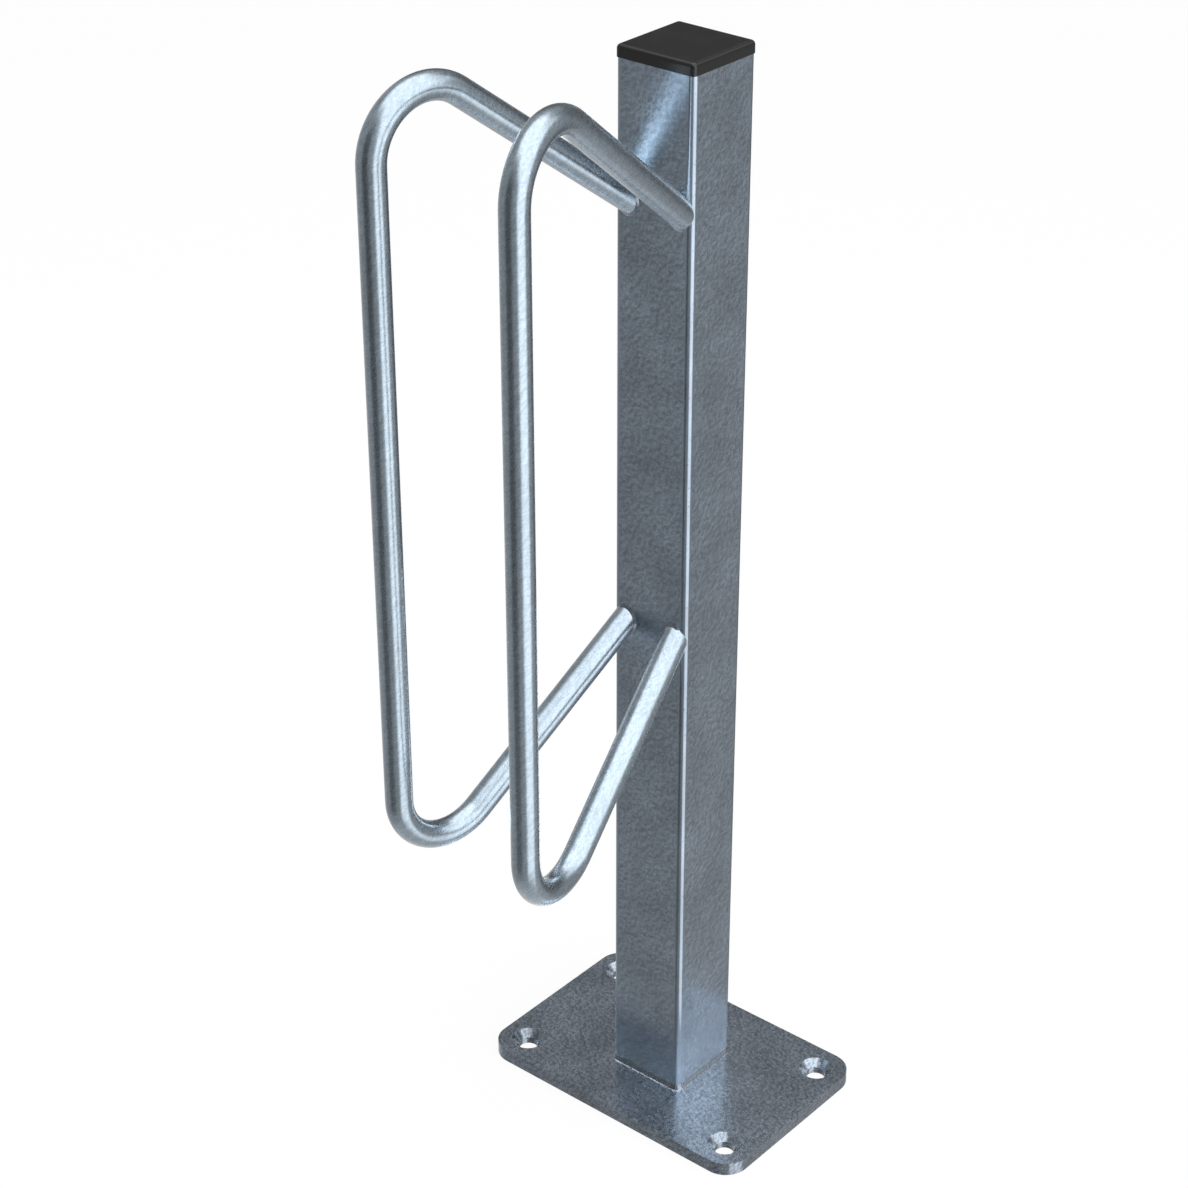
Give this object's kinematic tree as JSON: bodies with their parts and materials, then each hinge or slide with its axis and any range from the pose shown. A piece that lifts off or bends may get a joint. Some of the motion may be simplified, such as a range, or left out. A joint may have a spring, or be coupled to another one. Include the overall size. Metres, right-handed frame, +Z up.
{
  "type": "single bike stand",
  "caption": "Street stand for a bicycle's front wheel: splayed bent-tube hoops on a square post with a plastic cap, welded to a base plate with countersunk anchor holes.",
  "frame": {"origin": "on the ground, under the post's axis and at the centre of the four anchor holes", "axes": "+Z up along the post, -Y from the post towards the wheel that it holds, +X to the right seen from the wheel's side"},
  "size_m": [0.225, 0.299, 0.7883],
  "materials": {
    "plate_zinc": "hot-dip galvanised plate, mottled and half matt",
    "post_zinc": "hot-dip galvanised square tube, finely mottled",
    "hoop_zinc": "hot-dip galvanised round tube, smooth and half bright",
    "weld_zinc": "weld bead under the zinc coat",
    "cap_plastic": "moulded black polyethylene, satin"
  },
  "bodies": {
    "root": {"base_plate": "plate_zinc", "post": "post_zinc", "post_cap": "cap_plastic", "left_hoop": "hoop_zinc", "right_hoop": "hoop_zinc", "foot_weld": "weld_zinc", "left_upper_weld": "weld_zinc", "left_lower_weld": "weld_zinc", "right_upper_weld": "weld_zinc", "right_lower_weld": "weld_zinc"}
  },
  "joints": []
}
